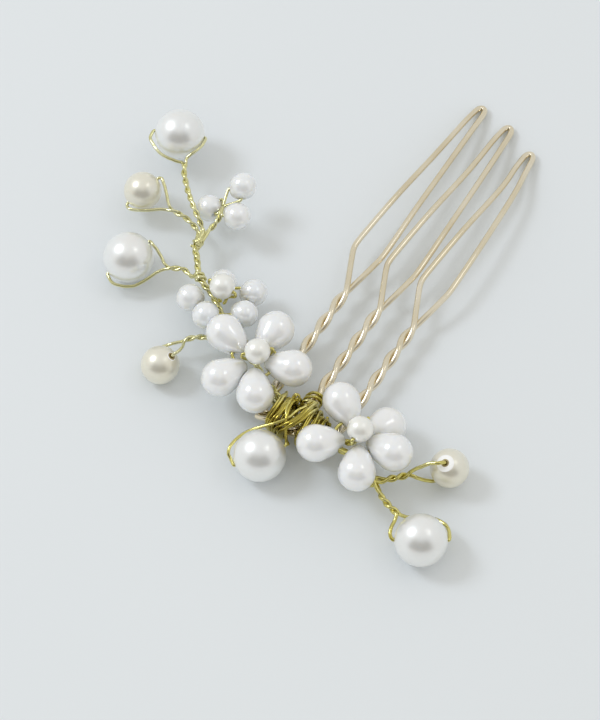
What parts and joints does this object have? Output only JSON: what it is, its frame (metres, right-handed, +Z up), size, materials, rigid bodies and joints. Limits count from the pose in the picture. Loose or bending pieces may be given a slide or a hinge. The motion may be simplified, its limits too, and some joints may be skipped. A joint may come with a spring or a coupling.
{
  "type": "decorative hair comb",
  "caption": "Small wire hair comb with twisted hairpin teeth and a bound spray of pearls and bead flowers, pushed into an updo as a decorative hair pin.",
  "frame": {"origin": "middle of the whole outline on the surface the comb lies on", "axes": "+Z up from that surface, +X along the comb rail from the pearl spray's long side to its short side, +Y from the rail towards the tooth tips"},
  "size_m": [0.0775, 0.0792, 0.0113],
  "materials": {
    "comb_wire": "polished champagne gold plating",
    "craft_wire": "bright pale gold craft wire",
    "white_pearl": "white pearl lustre",
    "ivory_pearl": "ivory pearl lustre",
    "petal_bead": "milky white pearlised gloss",
    "small_drop_bead": "milky translucent white pearlised gloss"
  },
  "bodies": {
    "comb": {"comb_rail": "comb_wire", "tooth_left": "comb_wire", "tooth_middle": "comb_wire", "tooth_right": "comb_wire", "tip_drop_1": "small_drop_bead", "tip_drop_2": "small_drop_bead", "tip_drop_3": "small_drop_bead", "small_flower_centre": "ivory_pearl", "small_flower_bead_1": "small_drop_bead", "small_flower_bead_2": "small_drop_bead", "small_flower_bead_3": "small_drop_bead", "small_flower_bead_4": "small_drop_bead", "small_flower_bead_5": "small_drop_bead", "left_flower_centre": "ivory_pearl", "left_flower_petal_1": "petal_bead", "left_flower_petal_2": "petal_bead", "left_flower_petal_3": "petal_bead", "left_flower_petal_4": "petal_bead", "left_flower_petal_5": "petal_bead", "right_flower_centre": "ivory_pearl", "right_flower_petal_1": "petal_bead", "right_flower_petal_2": "petal_bead", "right_flower_petal_3": "petal_bead", "right_flower_petal_4": "petal_bead", "right_flower_petal_5": "petal_bead", "pearl_1_wire": "craft_wire", "pearl_2_wire": "craft_wire", "pearl_3_wire": "craft_wire", "pearl_4_wire": "craft_wire", "pearl_5_wire": "craft_wire", "pearl_6_wire": "craft_wire", "pearl_7_wire": "craft_wire", "tip_drops_wire": "craft_wire", "small_flower_wire": "craft_wire", "left_flower_wire": "craft_wire", "right_flower_wire": "craft_wire", "long_branch": "craft_wire", "short_branch": "craft_wire", "binding_wire": "craft_wire"},
    "loose_pearl_1": {"pearl_1": "white_pearl"},
    "loose_pearl_2": {"pearl_2": "ivory_pearl"},
    "loose_pearl_3": {"pearl_3": "white_pearl"},
    "loose_pearl_4": {"pearl_4": "ivory_pearl"},
    "loose_pearl_5": {"pearl_5": "white_pearl"},
    "loose_pearl_6": {"pearl_6": "ivory_pearl"},
    "loose_pearl_7": {"pearl_7": "white_pearl"}
  },
  "joints": [
    {"name": "pearl_1_spin", "type": "hinge", "parent": "comb", "child": "loose_pearl_1", "pos_m": [-0.03465, 0.00565, 0.0058], "axis": [0.9272, 0.3746, 0], "continuous": true},
    {"name": "pearl_2_spin", "type": "hinge", "parent": "comb", "child": "loose_pearl_2", "pos_m": [-0.03415, -0.00585, 0.0046], "axis": [0.3563, 0.8818, 0.309], "continuous": true},
    {"name": "pearl_3_spin", "type": "hinge", "parent": "comb", "child": "loose_pearl_3", "pos_m": [-0.02935, -0.01705, 0.004], "axis": [0.3868, 0.8688, 0.309], "continuous": true},
    {"name": "pearl_4_spin", "type": "hinge", "parent": "comb", "child": "loose_pearl_4", "pos_m": [-0.01475, -0.03015, 0.0031], "axis": [0.4891, 0.396, 0.7771], "continuous": true},
    {"name": "pearl_5_spin", "type": "hinge", "parent": "comb", "child": "loose_pearl_5", "pos_m": [0.00695, -0.03565, 0.004], "axis": [0.6198, 0.7653, 0.1736], "continuous": true},
    {"name": "pearl_6_spin", "type": "hinge", "parent": "comb", "child": "loose_pearl_6", "pos_m": [0.03205, -0.02205, 0.0036], "axis": [-0.1281, -0.3171, 0.9397], "continuous": true},
    {"name": "pearl_7_spin", "type": "hinge", "parent": "comb", "child": "loose_pearl_7", "pos_m": [0.03475, -0.03485, 0.004], "axis": [0.848, 0.5299, 0], "continuous": true}
  ]
}
